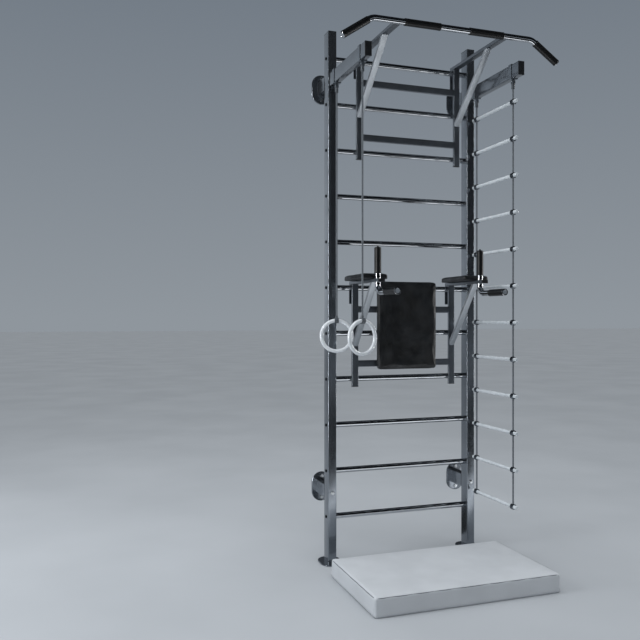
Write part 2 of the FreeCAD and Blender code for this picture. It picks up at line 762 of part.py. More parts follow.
def build():
    os.makedirs("parts", exist_ok=True)
    for side in SIDES:
        save(side + "_post", post(side))
        save(side + "_beam", beam(side))
        save(side + "_beam_straps", *[strap(side, end) for end in ENDS])
        for level, z in bracket_heights.items():
            save(level + "_" + side + "_bracket", bracket(side, z))
    save("post_caps", *[post_cap(side) for side in SIDES])
    save("foot_plates", *[foot_plate(side) for side in SIDES])
    save("beam_caps", *[beam_cap(side) for side in SIDES])
    for number, z in enumerate(rung_heights, 1):
        save("rung_%02d" % number, rung(z))
    save("rung_bolts", *rung_bolts())
    save("wall_screws", *wall_screws())
    save("bracket_bolts", *bracket_bolts())

    pull_x = [unit_x(pullup_offset, pullup_spacing, side) for side in SIDES]
    save("pullup_uprights", *[upright(x, pullup_foot, seat_height(pullup_rung_z)) for x in pull_x])
    save("pullup_crossbars", *[crossbar(pullup_offset, pullup_spacing, z) for z in pullup_crossbars])
    save("pullup_hooks", *[hook(x, pullup_rung_z) for x in pull_x])
    save("pullup_arms", *[pullup_arm(side) for side in SIDES])
    save("pullup_braces", *[brace(x, pullup_brace_width, pullup_brace_foot, pullup_brace_reach, pullup_arm_z)
                            for x in pull_x])
    save("pullup_bar", pullup_bar())
    save("pullup_grips", *pullup_grips())
    save("pullup_end_plugs", *pullup_plugs())

    dip_x = [unit_x(dip_offset, dip_spacing, side) for side in SIDES]
    save("dip_uprights", *[upright(x, dip_foot, seat_height(dip_rung_z)) for x in dip_x])
    save("dip_crossbars", *[crossbar(dip_offset, dip_spacing, z) for z in dip_crossbars])
    save("dip_hooks", *[hook(x, dip_rung_z) for x in dip_x])
    save("dip_arms", *[dip_arm(side) for side in SIDES])
    save("dip_braces", *[brace(x, dip_brace_width, dip_brace_foot, dip_brace_reach, dip_arm_z) for x in dip_x])
    for side in SIDES:
        save(side + "_handle", handle(side))
        save(side + "_elbow_pad", elbow_pad(side))
    save("dip_grips", *dip_grips())
    save("dip_end_plugs", *dip_plugs())
    save("backrest_board", backrest_board())
    save("backrest_pad", backrest_pad())

    ring_x = -post_x
    for end in ENDS:
        y = hang_y[end]
        save(end + "_ring_fittings", rope_clevis(ring_x, y), ring_clasp(ring_x, y, ring_turn[end]))
        save(end + "_ring_rope", rod(rope_diameter, V(ring_x, y, ring_top + clasp_outer), V(ring_x, y, rope_top)))
        save(end + "_ring", ring(ring_x, y, ring_turn[end]))

    heights = ladder_heights()
    save("ladder_hangers", *[rope_clevis(post_x, y) for y in hang_y.values()])
    for end in ENDS:
        foot = V(post_x, hang_y[end], heights[-1] - ladder_collar / 2)
        save("ladder_" + end + "_rope", rod(rope_diameter, foot, V(post_x, hang_y[end], rope_top)))
    save("ladder_rungs", *[ladder_rung_bar(post_x, z) for z in heights])
    save("ladder_collars", *[ladder_collar_ring(post_x, y, z) for z in heights for y in hang_y.values()])
    save("mat", mat())


build()
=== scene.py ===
# %% [markdown]
# # Wall bars with a pull-up unit, a dip unit, rings, a rope ladder and a mat
# The steel work, the mechanism and the main sizes come from a CAD frame. This notebook gives the frame
# its looks: rolled tube corners, chrome that mirrors the room, ribbed rubber grips, braided ropes,
# padded leatherette and a vinyl mat. The first cell loads the frame and keeps its box, because
# nothing here may grow past it.

# %% Load the frame
import math

import bmesh
import bpy
import numpy as np
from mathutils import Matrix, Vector


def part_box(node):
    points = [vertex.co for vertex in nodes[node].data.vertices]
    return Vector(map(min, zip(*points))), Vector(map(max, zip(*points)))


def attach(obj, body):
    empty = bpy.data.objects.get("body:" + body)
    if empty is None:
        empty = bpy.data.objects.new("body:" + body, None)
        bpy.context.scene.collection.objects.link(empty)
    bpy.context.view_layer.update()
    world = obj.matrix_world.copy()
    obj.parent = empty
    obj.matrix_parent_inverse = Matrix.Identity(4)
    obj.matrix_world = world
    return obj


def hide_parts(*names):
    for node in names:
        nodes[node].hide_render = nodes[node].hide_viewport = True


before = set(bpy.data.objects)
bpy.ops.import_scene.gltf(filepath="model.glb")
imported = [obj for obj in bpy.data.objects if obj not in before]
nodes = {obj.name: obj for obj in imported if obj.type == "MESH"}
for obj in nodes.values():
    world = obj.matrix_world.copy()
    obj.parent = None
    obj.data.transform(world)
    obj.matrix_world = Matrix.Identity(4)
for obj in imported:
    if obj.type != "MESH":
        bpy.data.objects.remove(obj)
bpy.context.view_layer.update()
MM = 0.001

# %% [markdown]
# ## Camera
# The viewer stands a little to the left and about 3.3 m in front, with the lens at chest height and
# held level, so that the posts stay upright in the view. A level camera needs almost no shift.

# %% Camera
CAMERA_PLACE = (-1.5069, -3.3256, 1.1218)
CAMERA_TURN = -18.97          # degrees about the vertical; it looks along +Y at zero
camera_data = bpy.data.cameras.new("camera")
camera_data.sensor_width = 36.0
camera_data.lens = 41.55
camera_data.shift_y = -0.0034
camera = bpy.data.objects.new("camera", camera_data)
camera.location = CAMERA_PLACE
camera.rotation_euler = (math.radians(90), 0, math.radians(CAMERA_TURN))
bpy.context.scene.collection.objects.link(camera)
bpy.context.scene.camera = camera
print("camera at", CAMERA_PLACE)

# %% [markdown]
# ## Helpers for materials
# Colours are written as they look on a screen (sRGB hex) and have to be made linear for the shader.
# One helper adds a node: it takes the node's settings, and its inputs as values or as links.
# A second one starts a material, with every constant set straight on the shader's own sockets.

# %% Material helpers
def linear(code):
    """sRGB hex to linear RGBA: c / 12.92 below 0.04045, else ((c + 0.055) / 1.055) to the power 2.4."""
    c = np.array([int(code[i:i + 2], 16) for i in (1, 3, 5)]) / 255
    rgb = np.where(c <= 0.04045, c / 12.92, ((c + 0.055) / 1.055) ** 2.4)
    return (*[float(v) for v in rgb], 1.0)


def add(tree, kind, settings=None, inputs=None):
    """Adds one node; an input that is a socket is linked, and any other input is a value."""
    node = tree.nodes.new(kind)
    for key, value in (settings or {}).items():
        setattr(node, key, value)
    for key, value in (inputs or {}).items():
        if isinstance(value, bpy.types.NodeSocket):
            tree.links.new(value, node.inputs[key])
        else:
            node.inputs[key].default_value = value
    return node


def start_material(name, **constants):
    """A new material with its shader's constants: the material, tree, shader and Object coordinates."""
    material = bpy.data.materials.new(name)
    material.use_nodes = True
    tree = material.node_tree
    shader = tree.nodes["Principled BSDF"]
    for key, value in constants.items():
        shader.inputs[key.replace("_", " ")].default_value = value
    place = add(tree, "ShaderNodeTexCoord").outputs["Object"]
    return material, tree, shader, place


def per_mm(size):
    """Texture scale, in repeats per metre, of a pattern whose repeat is a size in millimetres."""
    return 1000.0 / size


def two_tones(tree, place, size, dark, light, detail=3.0):
    """A soft cloudy mix of two close colours, its clouds of a size in millimetres."""
    noise = add(tree, "ShaderNodeTexNoise", None, {"Vector": place, "Scale": per_mm(size), "Detail": detail})
    ramp = add(tree, "ShaderNodeValToRGB", None, {"Fac": noise.outputs["Fac"]})
    ramp.color_ramp.elements[0].position = 0.35
    ramp.color_ramp.elements[1].position = 0.65
    ramp.color_ramp.elements[0].color = linear(dark)
    ramp.color_ramp.elements[1].color = linear(light)
    return ramp.outputs["Color"]


def roughness_clouds(tree, shader, place, size, low, high):
    """Lets the roughness wander between two values, in clouds of a size in millimetres."""
    noise = add(tree, "ShaderNodeTexNoise", None, {"Vector": place, "Scale": per_mm(size), "Detail": 4.0})
    spread = add(tree, "ShaderNodeMapRange", None, {"Value": noise.outputs["Fac"], "From Min": 0.3,
                                                    "From Max": 0.7, "To Min": low, "To Max": high})
    tree.links.new(spread.outputs["Result"], shader.inputs["Roughness"])


def raise_surface(tree, shader, height, depth, strength=1.0):
    """Bumps the surface by a height pattern of a depth in millimetres."""
    bump = add(tree, "ShaderNodeBump", None, {"Height": height, "Distance": depth * MM, "Strength": strength})
    tree.links.new(bump.outputs["Normal"], shader.inputs["Normal"])


print("material helpers ready")

# %% [markdown]
# ## Powder-coated steel
# Posts, beams and brackets are welded mild steel with a baked powder coat that carries fine
# aluminium flake. The flake makes it mirror the room like a dull dark metal: a side that faces the
# bright end of the room is grey, and one that faces the dark end nearly black. The powder melts into
# a skin with a faint orange peel of 2 to 4 mm, which breaks up long reflections. The frames of the
# two hook-on units have a duller coat, and their braces a silver one. The flake is the metallic
# part, its mean brightness the base colour, and a thin clear coat lies over it.

# %% Powder coats
def powder_coat(name, dark, light, rough_low, rough_high, flake, coat, peel_depth):
    material, tree, shader, place = start_material(name, Metallic=flake, Coat_Weight=coat,
                                                   Coat_Roughness=0.08)
    tree.links.new(two_tones(tree, place, 90.0, dark, light), shader.inputs["Base Color"])
    roughness_clouds(tree, shader, place, 35.0, rough_low, rough_high)
    peel = add(tree, "ShaderNodeTexNoise", None, {"Vector": place, "Scale": per_mm(4.0), "Detail": 1.0})
    raise_surface(tree, shader, peel.outputs["Fac"], peel_depth)
    return material


graphite_coat = powder_coat("powder_coat_graphite_flake", "#767c83", "#80868d", 0.16, 0.22, 0.9, 0.3, 0.008)
charcoal_coat = powder_coat("powder_coat_charcoal_flake", "#676d74", "#72787f", 0.28, 0.36, 0.85, 0.15, 0.03)
silver_coat = powder_coat("powder_coat_silver_flake", "#9a9fa4", "#a6abb0", 0.30, 0.38, 0.7, 0.2, 0.03)
print("powder coats:", graphite_coat.name, charcoal_coat.name, silver_coat.name)

# %% [markdown]
# ## Chrome, nickel, zinc and satin steel
# The climbing rungs, the bar and the handles are polished chrome: almost a mirror, with hairline
# wiping marks. Those marks are really a tenth of a millimetre wide and are drawn at about 1 mm so
# that they show. Metals keep the default IOR, and their colour is that of their reflection.

# %% Metals
def plated_metal(name, colour, rough_low, rough_high, mark_size, mark_depth, stretch=(1.0, 1.0, 1.0)):
    material, tree, shader, place = start_material(name, Metallic=1.0, Base_Color=linear(colour))
    mapping = add(tree, "ShaderNodeMapping", None, {"Vector": place, "Scale": stretch})
    roughness_clouds(tree, shader, mapping.outputs["Vector"], mark_size * 12, rough_low, rough_high)
    marks = add(tree, "ShaderNodeTexNoise", None, {"Vector": mapping.outputs["Vector"],
                                                   "Scale": per_mm(mark_size), "Detail": 2.0})
    raise_surface(tree, shader, marks.outputs["Fac"], mark_depth)
    return material


chrome = plated_metal("chrome_plate_polished", "#c6c9cd", 0.05, 0.10, 1.0, 0.002)
nickel = plated_metal("nickel_plate_dark", "#5b6168", 0.16, 0.24, 1.0, 0.004)
zinc = plated_metal("zinc_plate_bright", "#b9bdc1", 0.22, 0.34, 0.8, 0.01)
black_zinc = plated_metal("zinc_plate_black_passivated", "#24272b", 0.28, 0.38, 0.8, 0.01)
satin_band = plated_metal("steel_band_satin", "#8f969d", 0.30, 0.42, 0.6, 0.01, (1.0, 1.0, 0.15))
print("metals:", chrome.name, nickel.name, zinc.name, black_zinc.name, satin_band.name)

# %% [markdown]
# ## Plastics and rubber
# Caps and plugs are moulded nylon with a fine spark-eroded grain of about 0.5 mm, drawn at 1 mm.
# The grips are foamed rubber, matt and slightly uneven. Rings and ladder rungs are glossy white
# plastic: a clear skin over a pale body.

# %% Plastics
def moulded(name, dark, light, rough_low, rough_high, grain, depth, **constants):
    material, tree, shader, place = start_material(name, IOR=1.46, **constants)
    tree.links.new(two_tones(tree, place, 30.0, dark, light), shader.inputs["Base Color"])
    roughness_clouds(tree, shader, place, 12.0, rough_low, rough_high)
    pits = add(tree, "ShaderNodeTexNoise", None, {"Vector": place, "Scale": per_mm(grain), "Detail": 2.0})
    raise_surface(tree, shader, pits.outputs["Fac"], depth)
    return material


black_nylon = moulded("nylon_moulded_black", "#15181b", "#1c1f23", 0.38, 0.50, 1.0, 0.03)
grey_nylon = moulded("nylon_moulded_grey", "#4a5056", "#555b61", 0.34, 0.46, 1.0, 0.03)
trim_nylon = moulded("nylon_moulded_pale_grey", "#7a8086", "#858b91", 0.30, 0.40, 1.0, 0.03)
foam_rubber = moulded("rubber_grip_black", "#07080a", "#0d0f11", 0.34, 0.46, 1.6, 0.04)
ring_plastic = moulded("abs_gloss_white", "#dbe0e4", "#e4e8eb", 0.14, 0.20, 3.0, 0.005,
                       Coat_Weight=1.0, Coat_Roughness=0.06)
rung_plastic = moulded("abs_rod_pale_grey", "#c3cace", "#cfd5d9", 0.20, 0.30, 3.0, 0.01, Coat_Weight=0.3)
print("plastics:", black_nylon.name, grey_nylon.name, foam_rubber.name, ring_plastic.name, rung_plastic.name)

# %% [markdown]
# ## Leatherette, vinyl, plywood and floor
# Pads are covered in leatherette, a PVC skin with an embossed pebble of about 1.5 mm: cells from a
# Voronoi pattern, their borders pressed in. The mat's vinyl is smoother, a coated cloth whose
# weave of about 1 mm shows through faintly. The board behind the backrest is dark-stained birch
# plywood, and its grain is a noise stretched along the board's length.

# %% Cover materials
def embossed_skin(name, dark, light, pebble, depth, rough_low, rough_high, **constants):
    material, tree, shader, place = start_material(name, IOR=1.5, **constants)
    tree.links.new(two_tones(tree, place, 60.0, dark, light), shader.inputs["Base Color"])
    roughness_clouds(tree, shader, place, 45.0, rough_low, rough_high)
    cells = add(tree, "ShaderNodeTexVoronoi", {"feature": "DISTANCE_TO_EDGE"},
                {"Vector": place, "Scale": per_mm(pebble)})
    creases = add(tree, "ShaderNodeTexNoise", None, {"Vector": place, "Scale": per_mm(28.0), "Detail": 5.0})
    relief = add(tree, "ShaderNodeMath", {"operation": "MULTIPLY_ADD"},
                 {0: creases.outputs["Fac"], 1: 2.5, 2: cells.outputs["Distance"]})
    raise_surface(tree, shader, relief.outputs["Value"], depth)
    return material


leatherette = embossed_skin("leatherette_black", "#101214", "#1d2023", 1.8, 0.25, 0.32, 0.60,
                            Specular_IOR_Level=0.35)
leatherette_cord = embossed_skin("leatherette_piping", "#1c1f23", "#24282c", 1.2, 0.10, 0.30, 0.40)

vinyl, tree, shader, place = start_material("vinyl_coated_cloth_pale", Specular_IOR_Level=0.15)
tree.links.new(two_tones(tree, place, 140.0, "#b9bdc1", "#c0c4c8"), shader.inputs["Base Color"])
roughness_clouds(tree, shader, place, 60.0, 0.42, 0.54)
weave = [add(tree, "ShaderNodeTexWave", {"bands_direction": axis, "wave_type": "BANDS"},
             {"Vector": place, "Scale": per_mm(1.0) / 20}) for axis in ("X", "Y")]
cloth = add(tree, "ShaderNodeMath", {"operation": "MULTIPLY"},
            {0: weave[0].outputs["Fac"], 1: weave[1].outputs["Fac"]})
raise_surface(tree, shader, cloth.outputs["Value"], 0.03)
# The mat's piping is a real vinyl cord, but its dark grey is painted shade: it stands in for the shaded seam
# groove along the mat's top edge.
mat_piping_painted_shade = moulded("vinyl_piping_painted_seam_shade", "#5a5f64", "#666b70", 0.40, 0.50, 1.0, 0.02)

plywood, tree, shader, place = start_material("birch_plywood_stained", IOR=1.5, Roughness=0.5)
along = add(tree, "ShaderNodeMapping", None, {"Vector": place, "Scale": (1.0, 1.0, 0.06)})
tree.links.new(two_tones(tree, along.outputs["Vector"], 6.0, "#1d1815", "#2f2723", 5.0),
               shader.inputs["Base Color"])

floor_paint, tree, shader, place = start_material("floor_screed_pale", Specular_IOR_Level=0.0)
tree.links.new(two_tones(tree, place, 900.0, "#a9adb1", "#afb3b7"), shader.inputs["Base Color"])
roughness_clouds(tree, shader, place, 300.0, 0.55, 0.65)
print("covers:", leatherette.name, vinyl.name, plywood.name, floor_paint.name)

# %% [markdown]
# ## Surfaces from numpy
# Every new shape is a grid of points, rows by columns, worked out as one array. Each row closes on
# itself, and the rows close into a loop or end in two flat lids. A shell is a pair: its points and
# its faces. Many shells of one kind become one piece, as the real ones come from one box of parts.

# %% Grid helpers
def grid_shell(points, closed_rows=False):
    """Points of shape (rows, columns, 3) to a shell: row r, column c meets r + 1 and c + 1 in a quad."""
    rows, columns = points.shape[:2]
    r = np.arange(rows if closed_rows else rows - 1)[:, None]
    c = np.arange(columns)[None, :]
    r2 = (r + 1) % rows
    c2 = (c + 1) % columns
    quads = np.stack([r * columns + c, r * columns + c2, r2 * columns + c2, r2 * columns + c], -1)
    faces = quads.reshape(-1, 4).tolist()
    if not closed_rows:
        first = list(range(columns))
        last = [(rows - 1) * columns + i for i in range(columns)]
        faces += [first[::-1], last]
    return points.reshape(-1, 3), faces


def mesh_points(mesh):
    """A mesh's points as an array of rows (x, y, z)."""
    points = np.empty(len(mesh.vertices) * 3)
    mesh.vertices.foreach_get("co", points)
    return points.reshape(-1, 3)


def joined(shells):
    """Several shells as one: each one's face numbers start after the points before it."""
    points, faces, count = [], [], 0
    for shell_points, shell_faces in shells:
        points.append(shell_points)
        faces += [[i + count for i in face] for face in shell_faces]
        count += len(shell_points)
    return np.concatenate(points), faces


def finish_piece(name, mesh, material, body, replaces, smooth_below=35.0):
    """Makes an object of a mesh: smooth except at sharp edges, with its material, body and CAD nodes."""
    mesh.materials.clear()
    mesh.materials.append(material)
    mesh.polygons.foreach_set("use_smooth", [True] * len(mesh.polygons))
    mesh.set_sharp_from_angle(angle=math.radians(smooth_below))
    piece = bpy.data.objects.new(name, mesh)
    bpy.context.scene.collection.objects.link(piece)
    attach(piece, body)
    if replaces:
        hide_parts(*replaces)
    print(name, "-", len(mesh.vertices), "points")
    return piece


def shell_piece(name, shells, material, body, replaces=(), smooth_below=35.0):
    """One piece from shells, with its faces turned outwards."""
    points, faces = joined(shells)
    mesh = bpy.data.meshes.new(name)
    mesh.from_pydata(points.tolist(), [], faces)
    work = bmesh.new()
    work.from_mesh(mesh)
    bmesh.ops.recalc_face_normals(work, faces=work.faces)
    work.to_mesh(mesh)
    work.free()
    return finish_piece(name, mesh, material, body, replaces, smooth_below)


def across(direction):
    """Two unit vectors square to a direction and to each other."""
    d = np.asarray(direction, float) / np.linalg.norm(direction)
    side = np.cross(d, (0.0, 0.0, 1.0) if abs(d[2]) < 0.9 else (0.0, 1.0, 0.0))
    side /= np.linalg.norm(side)
    return d, side, np.cross(d, side)


def turned(profile, start, direction, sides=40, loop=False):
    """A lathe shape: start + along * d + radius * (cos t * u + sin t * v), by rows (along, radius)."""
    d, u, v = across(direction)
    profile = np.asarray(profile, float)
    t = np.linspace(0, 2 * np.pi, sides, endpoint=False)
    ring = np.cos(t)[:, None] * u + np.sin(t)[:, None] * v
    points = np.asarray(start, float) + profile[:, 0, None, None] * d + profile[:, 1, None, None] * ring
    return grid_shell(points, closed_rows=loop)


print("grid helpers ready")

# %% [markdown]
# ## Ropes
# Two rings and the ladder hang on braided polypropylene rope, 8 mm thick. A rope could be a curve
# with a round bevel, but its plaits would be missing, so a skin is carried down the rope's line:
# four strands wind each way, cross in diamonds, and lift the skin a little. The line itself is a
# NURBS spline through the rope's own route, a straight drop, because the weight below pulls it tight.

# %% Rope route and skin
ROPE = 8.0 * MM
ROPE_TOP = 2.1505             # where the rope's end sits, inside its socket
RING_ROPE_FOOT = 1.1219
LADDER_ROPE_FOOT = 0.2762


def route_points(name, route):
    """The points of a smooth NURBS line through a route."""
    curve = bpy.data.curves.new(name, "CURVE")
    curve.dimensions = "3D"
    curve.resolution_u = 64
    spline = curve.splines.new("NURBS")
    spline.points.add(len(route) - 1)
    spline.points.foreach_set("co", np.column_stack([route, np.ones(len(route))]).ravel())
    spline.order_u = 3
    spline.use_endpoint_u = True
    carrier = bpy.data.objects.new(name, curve)
    bpy.context.scene.collection.objects.link(carrier)
    bpy.context.view_layer.update()
    line = bpy.data.meshes.new_from_object(carrier.evaluated_get(bpy.context.evaluated_depsgraph_get()))
    points = mesh_points(line)
    bpy.data.objects.remove(carrier)
    bpy.data.meshes.remove(line)
    return points


def evenly(points, step):
    """The same line with points a step apart, by linear interpolation on its arc length."""
    lengths = np.concatenate([[0.0], np.cumsum(np.linalg.norm(np.diff(points, axis=0), axis=1))])
    at = np.linspace(0, lengths[-1], max(2, int(round(lengths[-1] / step)) + 1))
    return np.column_stack([np.interp(at, lengths, points[:, k]) for k in range(3)]), at


def braided_skin(points, diameter, strands=4, plait=14.0 * MM, sides=28):
    """Round skin of radius r * (1 - 0.09 * h), h being 1 - max(|cos(n t + k s)|, |cos(n t - k s)|)."""
    line, s = evenly(points, 1.75 * MM)
    d, u, v = across(line[-1] - line[0])
    t = np.linspace(0, 2 * np.pi, sides, endpoint=False)
    one_way = np.abs(np.cos(strands * t[None, :] / 2 + np.pi * s[:, None] / plait))
    other_way = np.abs(np.cos(strands * t[None, :] / 2 - np.pi * s[:, None] / plait))
    radius = diameter / 2 * (1 - 0.09 * (1 - np.maximum(one_way, other_way)))
    ring = np.cos(t)[:, None] * u + np.sin(t)[:, None] * v
    return grid_shell(line[:, None, :] + radius[:, :, None] * ring[None, :, :])


polypropylene, tree, shader, place = start_material("polypropylene_braid_grey", IOR=1.49, Sheen_Weight=0.2)
tree.links.new(two_tones(tree, place, 3.0, "#4c5359", "#666d74"), shader.inputs["Base Color"])
roughness_clouds(tree, shader, place, 4.0, 0.45, 0.65)
fibres = add(tree, "ShaderNodeTexNoise", None, {"Vector": place, "Scale": per_mm(0.8), "Detail": 2.0})
raise_surface(tree, shader, fibres.outputs["Fac"], 0.05)
print("rope:", polypropylene.name)

# %% Hang the ropes
def middle(node):
    """Centre of a CAD node's box."""
    low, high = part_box(node)
    return (np.array(low) + np.array(high)) / 2


for node, body, foot in (("front_ring_rope", "front_ring_line", RING_ROPE_FOOT),
                         ("rear_ring_rope", "rear_ring_line", RING_ROPE_FOOT),
                         ("ladder_front_rope", "rope_ladder", LADDER_ROPE_FOOT),
                         ("ladder_rear_rope", "rope_ladder", LADDER_ROPE_FOOT)):
    x, y = middle(node)[:2]
    route = [(x, y, z) for z in np.linspace(ROPE_TOP, foot, 4)]
    line = route_points(node + "_line", route)
    rope = shell_piece(node + "_braid", [braided_skin(line, ROPE)], polypropylene, body, [node], 60.0)

# %% [markdown]
# ## Rectangular steel tube
# Posts, beams and frames are cold-rolled tube, whose corners have an outer radius of about one and a
# half times the wall. That rounding catches the long bright line down each post, so it is modelled
# and not left as a sharp box. A rounded rectangle is carried from one plane to another: square
# planes for a plain cut, and slanted ones for the mitred ends of the braces.

# %% Tube shapes
def rounded_rectangle(width, height, radius, steps=6):
    """Closed outline: four quarter circles of the radius about the corners' centres."""
    t = np.linspace(0, np.pi / 2, steps)
    corners = []
    for k, (sx, sy) in enumerate(((1, 1), (-1, 1), (-1, -1), (1, -1))):
        angle = t + k * np.pi / 2
        corners.append(np.column_stack([sx * (width / 2 - radius) + radius * np.cos(angle),
                                        sy * (height / 2 - radius) + radius * np.sin(angle)]))
    return np.concatenate(corners)


def straight_tube(outline, u, v, start, end, start_normal=None, end_normal=None):
    """Each outline point (a, b) starts at a * u + b * v and runs along the axis to both end planes."""
    start, end, u, v = (np.asarray(x, float) for x in (start, end, u, v))
    d = (end - start) / np.linalg.norm(end - start)
    base = outline[:, :1] * u + outline[:, 1:] * v
    rows = []
    for place, normal in ((start, start_normal), (end, end_normal)):
        n = d if normal is None else np.asarray(normal, float)
        offset = -(base @ n) / (d @ n)
        rows.append(place + base + offset[:, None] * d)
    return grid_shell(np.stack(rows))


def box_tube(low, high, radius):
    """A straight tube that fills a box, its longest side its length."""
    low, high = np.array(low, float), np.array(high, float)
    spans = high - low
    k = int(np.argmax(spans))
    i, j = [n for n in range(3) if n != k]
    axes = np.eye(3)
    centre = (low + high) / 2
    start, end = centre.copy(), centre.copy()
    start[k], end[k] = low[k], high[k]
    return straight_tube(rounded_rectangle(spans[i], spans[j], radius), axes[i], axes[j], start, end)


POST_CORNER = 4.0 * MM
FRAME_CORNER = 2.4 * MM
FACE = 30.0 * MM

for side in ("left", "right"):
    for part, name in (("post", "post_tube"), ("beam", "beam_tube")):
        node = side + "_" + part
        shell_piece(side + "_" + name, [box_tube(*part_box(node), POST_CORNER)], graphite_coat,
                    "wall_bars", [node])

# %% Frames of the two hook-on units
def pair_in_x(node):
    """A node of two like tubes, left and right: each one's box, by the tube's face width."""
    low, high = (np.array(c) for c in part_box(node))
    return [(low, (low[0] + FACE, high[1], high[2])), ((high[0] - FACE, low[1], low[2]), high)]


def pair_in_z(node):
    """A node of two like crossbars, lower and upper."""
    low, high = (np.array(c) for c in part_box(node))
    return [(low, (high[0], high[1], low[2] + FACE)), ((low[0], low[1], high[2] - FACE), high)]


for unit in ("pullup", "dip"):
    body = unit + "_unit"
    for part, boxes in (("uprights", pair_in_x), ("crossbars", pair_in_z), ("arms", pair_in_x)):
        node = unit + "_" + part
        shells = [box_tube(low, high, FRAME_CORNER) for low, high in boxes(node)]
        shell_piece(node + "_tube", shells, charcoal_coat, body, [node])

# %% Braces with mitred ends
BRACE_DEPTH = 15.0 * MM
for unit, width, foot_z, reach in (("pullup", 28.0 * MM, 2.058, 0.436), ("dip", 27.0 * MM, 1.003, 0.373)):
    node = unit + "_braces"
    low, high = (np.array(c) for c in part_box(node))
    outline = rounded_rectangle(width, BRACE_DEPTH, FRAME_CORNER)
    shells = []
    for x in (low[0] + width / 2, high[0] - width / 2):
        foot = np.array((x, high[1], foot_z))
        head = np.array((x, -reach, high[2]))
        d = (head - foot) / np.linalg.norm(head - foot)
        shells.append(straight_tube(outline, (1, 0, 0), np.cross(d, (1, 0, 0)), foot, head,
                                    (0, 1, 0), (0, 0, 1)))
    shell_piece(node + "_tube", shells, silver_coat, unit + "_unit", [node])

# %% [markdown]
# ## Small steel parts
# Hooks, bands, brackets, feet, caps and plugs keep their exact CAD shape, because their holes, bends
# and chamfers matter. A copy of each is merged into one skin and its edges are broken by a fine
# bevel, as tumbling or grinding leaves them. A dead sharp edge would never catch the light.

# %% Broken edges
def merged_copy(node, flatten=False):
    """Copy of a CAD node's mesh with its split points merged and, if asked, its flat faces made whole."""
    mesh = nodes[node].data.copy()
    work = bmesh.new()
    work.from_mesh(mesh)
    bmesh.ops.remove_doubles(work, verts=work.verts, dist=0.01 * MM)
    if flatten:
        bmesh.ops.dissolve_limit(work, angle_limit=math.radians(1.0), verts=work.verts, edges=work.edges)
    work.to_mesh(mesh)
    work.free()
    return mesh


def eased(node, name, width, material, body, segments=2):
    """Copy of a CAD node, merged, with every edge sharper than 40 degrees bevelled by a width."""
    mesh = merged_copy(node, flatten=True)
    mesh.name = name
    piece = finish_piece(name, mesh, material, body, [node])
    bevel = piece.modifiers.new("broken_edges", "BEVEL")
    bevel.width = width
    bevel.segments = segments
    bevel.limit_method = "ANGLE"
    bevel.angle_limit = math.radians(40)
    bevel.harden_normals = True
    return piece


for unit in ("pullup", "dip"):
    eased(unit + "_hooks", unit + "_hook_strips", 0.6 * MM, charcoal_coat, unit + "_unit")
    eased(unit + "_end_plugs", unit + "_plugs", 0.5 * MM, black_nylon, unit + "_unit")
for side in ("left", "right"):
    eased(side + "_beam_straps", side + "_beam_bands", 0.3 * MM, satin_band, "wall_bars")
    for level in ("lower", "upper"):
        node = level + "_" + side + "_bracket"
        eased(node, node + "_plate", 1.2 * MM, graphite_coat, "wall_bars", 3)
eased("foot_plates", "foot_plates_coated", 0.5 * MM, graphite_coat, "wall_bars")
eased("post_caps", "post_top_caps", 0.5 * MM, black_nylon, "wall_bars")
eased("beam_caps", "beam_front_caps", 0.5 * MM, black_nylon, "wall_bars")
eased("ladder_hangers", "ladder_forks", 0.4 * MM, grey_nylon, "rope_ladder")
for end in ("front", "rear"):
    eased(end + "_ring_fittings", end + "_ring_clasps", 0.4 * MM, grey_nylon, end + "_ring_line")
eased("wall_screws", "wall_plate_screws", 0.4 * MM, zinc, "wall_bars")
eased("bracket_bolts", "bracket_cap_bolts", 0.3 * MM, zinc, "wall_bars")
eased("backrest_board", "backrest_plywood", 0.8 * MM, plywood, "dip_unit")

# %% [markdown]
# ## Rung bolts
# A button-head bolt goes through each post into each rung end. Its head is a low dome with a round
# driving recess. A lathe profile gives both: out from the recess's floor, up its wall, over the
# dome and down to the post.

# %% Bolt heads
def button_head(radius, height, recess, deep):
    """Profile rows (height, radius) of a domed head with a recess, closed through the shank behind it."""
    t = np.linspace(0, np.pi / 2, 7)
    dome = np.column_stack([height * 0.35 + height * 0.65 * np.cos(t),
                            radius * (0.55 + 0.45 * np.sin(t))])
    return np.concatenate([[(height - deep, recess * 0.2), (height - deep, recess), (height, recess)], dome,
                           [(0.0, radius), (-2 * MM, radius * 0.5)]])


BOLT_RADIUS, BOLT_HEIGHT = 7.0 * MM, 4.5 * MM
RECESS_RADIUS, RECESS_DEPTH = 2.6 * MM, 2.4 * MM
RUNG_NUMBERS = range(1, 12)

heads = []
for number in RUNG_NUMBERS:
    y, z = middle("rung_%02d" % number)[1:]
    for side, sign in (("left", -1.0), ("right", 1.0)):
        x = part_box(side + "_post")[0 if sign < 0 else 1][0]
        profile = button_head(BOLT_RADIUS, BOLT_HEIGHT, RECESS_RADIUS, RECESS_DEPTH)
        heads.append(turned(profile, (x, y, z), (sign, 0, 0), 28))
shell_piece("rung_bolt_heads", heads, black_zinc, "wall_bars", ["rung_bolts"])

# %% [markdown]
# ## Chrome rungs, bar and handles
# Round tube is drawn, cut and polished before plating, so its ends have a slight roll-over and its
# skin is a true cylinder. Reflections on it show every facet, so it is turned with 64 sides rather
# than taken from the CAD's coarser facets. The bar and the handles are the same tube bent on a former:
# the circle is carried along straight runs joined by arcs.

